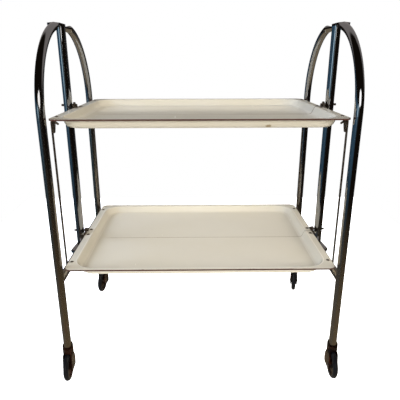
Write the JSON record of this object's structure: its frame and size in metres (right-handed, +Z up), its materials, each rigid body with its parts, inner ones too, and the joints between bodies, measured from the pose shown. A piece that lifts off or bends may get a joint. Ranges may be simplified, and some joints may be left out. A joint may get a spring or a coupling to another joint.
{
  "type": "folding serving cart",
  "caption": "Folding serving cart on casters: chrome tube arches with posts, and cream laminate trays that fold up along the middle.",
  "frame": {"origin": "centre of the cart's bounding box on the floor, 9.4 mm in front of the plane through the posts", "axes": "+Z up, +X to the cart's right end as the picture shows it, -Y towards the picture's viewer"},
  "size_m": [0.62, 0.4452, 0.7473],
  "materials": {
    "chrome": "polished, slightly aged",
    "steel": "tarnished",
    "laminate": "glossy, lightly worn",
    "rivet": "dull",
    "bakelite": "worn gloss",
    "rubber": "matt"
  },
  "bodies": {
    "posts": {"post_left": "chrome", "post_right": "chrome", "post_plugs": "steel", "pivot_bolts": "chrome", "seam_pins": "steel"},
    "upper_front": {"tray_upper_front": "laminate", "rivets_upper_front": "rivet", "lug_upper_front_left": "steel", "bracket_upper_front_left": "steel", "lug_upper_front_right": "steel", "bracket_upper_front_right": "steel"},
    "upper_rear": {"tray_upper_rear": "laminate", "rivets_upper_rear": "rivet", "lug_upper_rear_left": "steel", "bracket_upper_rear_left": "steel", "lug_upper_rear_right": "steel", "bracket_upper_rear_right": "steel"},
    "lower_front": {"tray_lower_front": "laminate", "rivets_lower_front": "rivet", "lug_lower_front_left": "steel", "bracket_lower_front_left": "steel", "lug_lower_front_right": "steel", "bracket_lower_front_right": "steel"},
    "lower_rear": {"tray_lower_rear": "laminate", "rivets_lower_rear": "rivet", "lug_lower_rear_left": "steel", "bracket_lower_rear_left": "steel", "lug_lower_rear_right": "steel", "bracket_lower_rear_right": "steel"},
    "rod_front_left": {"rod_front_left": "steel"},
    "rod_front_right": {"rod_front_right": "steel"},
    "rod_rear_left": {"rod_rear_left": "steel"},
    "rod_rear_right": {"rod_rear_right": "steel"},
    "gate_front_left": {"leg_front_left": "chrome", "rail_front_left": "chrome"},
    "gate_front_right": {"leg_front_right": "chrome", "rail_front_right": "chrome"},
    "gate_rear_left": {"leg_rear_left": "chrome", "rail_rear_left": "chrome"},
    "gate_rear_right": {"leg_rear_right": "chrome", "rail_rear_right": "chrome"},
    "caster_front_left": {"hood_front_left": "bakelite", "caster_pins_front_left": "steel"},
    "caster_front_right": {"hood_front_right": "bakelite", "caster_pins_front_right": "steel"},
    "caster_rear_left": {"hood_rear_left": "bakelite", "caster_pins_rear_left": "steel"},
    "caster_rear_right": {"hood_rear_right": "bakelite", "caster_pins_rear_right": "steel"},
    "wheel_front_left": {"wheel_front_left": "bakelite", "tyre_front_left": "rubber"},
    "wheel_front_right": {"wheel_front_right": "bakelite", "tyre_front_right": "rubber"},
    "wheel_rear_left": {"wheel_rear_left": "bakelite", "tyre_rear_left": "rubber"},
    "wheel_rear_right": {"wheel_rear_right": "bakelite", "tyre_rear_right": "rubber"}
  },
  "joints": [
    {"name": "upper_front_fold", "type": "hinge", "parent": "posts", "child": "upper_front", "pos_m": [0, 0.00937, 0.576], "axis": [-1, 0, 0], "range_deg": [0, 90]},
    {"name": "upper_rear_fold", "type": "hinge", "parent": "posts", "child": "upper_rear", "pos_m": [0, 0.00937, 0.576], "axis": [1, 0, 0], "range_deg": [0, 90]},
    {"name": "lower_front_fold", "type": "hinge", "parent": "posts", "child": "lower_front", "pos_m": [0, 0.00937, 0.272], "axis": [-1, 0, 0], "range_deg": [0, 90]},
    {"name": "lower_rear_fold", "type": "hinge", "parent": "posts", "child": "lower_rear", "pos_m": [0, 0.00937, 0.272], "axis": [1, 0, 0], "range_deg": [0, 90]},
    {"name": "rod_front_left_swing", "type": "hinge", "parent": "upper_front", "child": "rod_front_left", "pos_m": [-0.278, -0.15863, 0.563], "axis": [-1, 0, 0], "range_deg": [-90, 0]},
    {"name": "rod_front_right_swing", "type": "hinge", "parent": "upper_front", "child": "rod_front_right", "pos_m": [0.278, -0.15863, 0.563], "axis": [-1, 0, 0], "range_deg": [-90, 0]},
    {"name": "rod_rear_left_swing", "type": "hinge", "parent": "upper_rear", "child": "rod_rear_left", "pos_m": [-0.278, 0.17737, 0.563], "axis": [1, 0, 0], "range_deg": [-90, 0]},
    {"name": "rod_rear_right_swing", "type": "hinge", "parent": "upper_rear", "child": "rod_rear_right", "pos_m": [0.278, 0.17737, 0.563], "axis": [1, 0, 0], "range_deg": [-90, 0]},
    {"name": "gate_front_left_swing", "type": "hinge", "parent": "posts", "child": "gate_front_left", "pos_m": [-0.2955, 0.00937, 0.5], "axis": [0, 0, -1], "range_deg": [0, 72]},
    {"name": "gate_front_right_swing", "type": "hinge", "parent": "posts", "child": "gate_front_right", "pos_m": [0.2955, 0.00937, 0.5], "axis": [0, 0, 1], "range_deg": [0, 72]},
    {"name": "gate_rear_left_swing", "type": "hinge", "parent": "posts", "child": "gate_rear_left", "pos_m": [-0.2955, 0.00937, 0.5], "axis": [0, 0, 1], "range_deg": [0, 72]},
    {"name": "gate_rear_right_swing", "type": "hinge", "parent": "posts", "child": "gate_rear_right", "pos_m": [0.2955, 0.00937, 0.5], "axis": [0, 0, -1], "range_deg": [0, 72]},
    {"name": "caster_front_left_swivel", "type": "hinge", "parent": "gate_front_left", "child": "caster_front_left", "pos_m": [-0.2926, -0.18063, 0.076], "axis": [0, 0, 1], "continuous": true},
    {"name": "caster_front_right_swivel", "type": "hinge", "parent": "gate_front_right", "child": "caster_front_right", "pos_m": [0.2926, -0.18063, 0.076], "axis": [0, 0, 1], "continuous": true},
    {"name": "caster_rear_left_swivel", "type": "hinge", "parent": "gate_rear_left", "child": "caster_rear_left", "pos_m": [-0.2926, 0.19937, 0.076], "axis": [0, 0, 1], "continuous": true},
    {"name": "caster_rear_right_swivel", "type": "hinge", "parent": "gate_rear_right", "child": "caster_rear_right", "pos_m": [0.2926, 0.19937, 0.076], "axis": [0, 0, 1], "continuous": true},
    {"name": "wheel_front_left_roll", "type": "hinge", "parent": "caster_front_left", "child": "wheel_front_left", "pos_m": [-0.29197, -0.19262, 0.03], "axis": [0.9986, 0.0523, 0], "continuous": true},
    {"name": "wheel_front_right_roll", "type": "hinge", "parent": "caster_front_right", "child": "wheel_front_right", "pos_m": [0.29239, -0.19263, 0.03], "axis": [0.9998, -0.0175, 0], "continuous": true},
    {"name": "wheel_rear_left_roll", "type": "hinge", "parent": "caster_rear_left", "child": "wheel_rear_left", "pos_m": [-0.29427, 0.18749, 0.03], "axis": [0.9903, -0.1392, 0], "continuous": true},
    {"name": "wheel_rear_right_roll", "type": "hinge", "parent": "caster_rear_right", "child": "wheel_rear_right", "pos_m": [0.29011, 0.18763, 0.03], "axis": [0.9781, -0.2079, 0], "continuous": true}
  ],
  "couplings": [
    {"joint": "lower_front_fold", "follows": "upper_front_fold", "ratio": 1},
    {"joint": "lower_rear_fold", "follows": "upper_rear_fold", "ratio": 1},
    {"joint": "rod_front_left_swing", "follows": "upper_front_fold", "ratio": -1},
    {"joint": "rod_front_right_swing", "follows": "upper_front_fold", "ratio": -1},
    {"joint": "rod_rear_left_swing", "follows": "upper_rear_fold", "ratio": -1},
    {"joint": "rod_rear_right_swing", "follows": "upper_rear_fold", "ratio": -1}
  ]
}
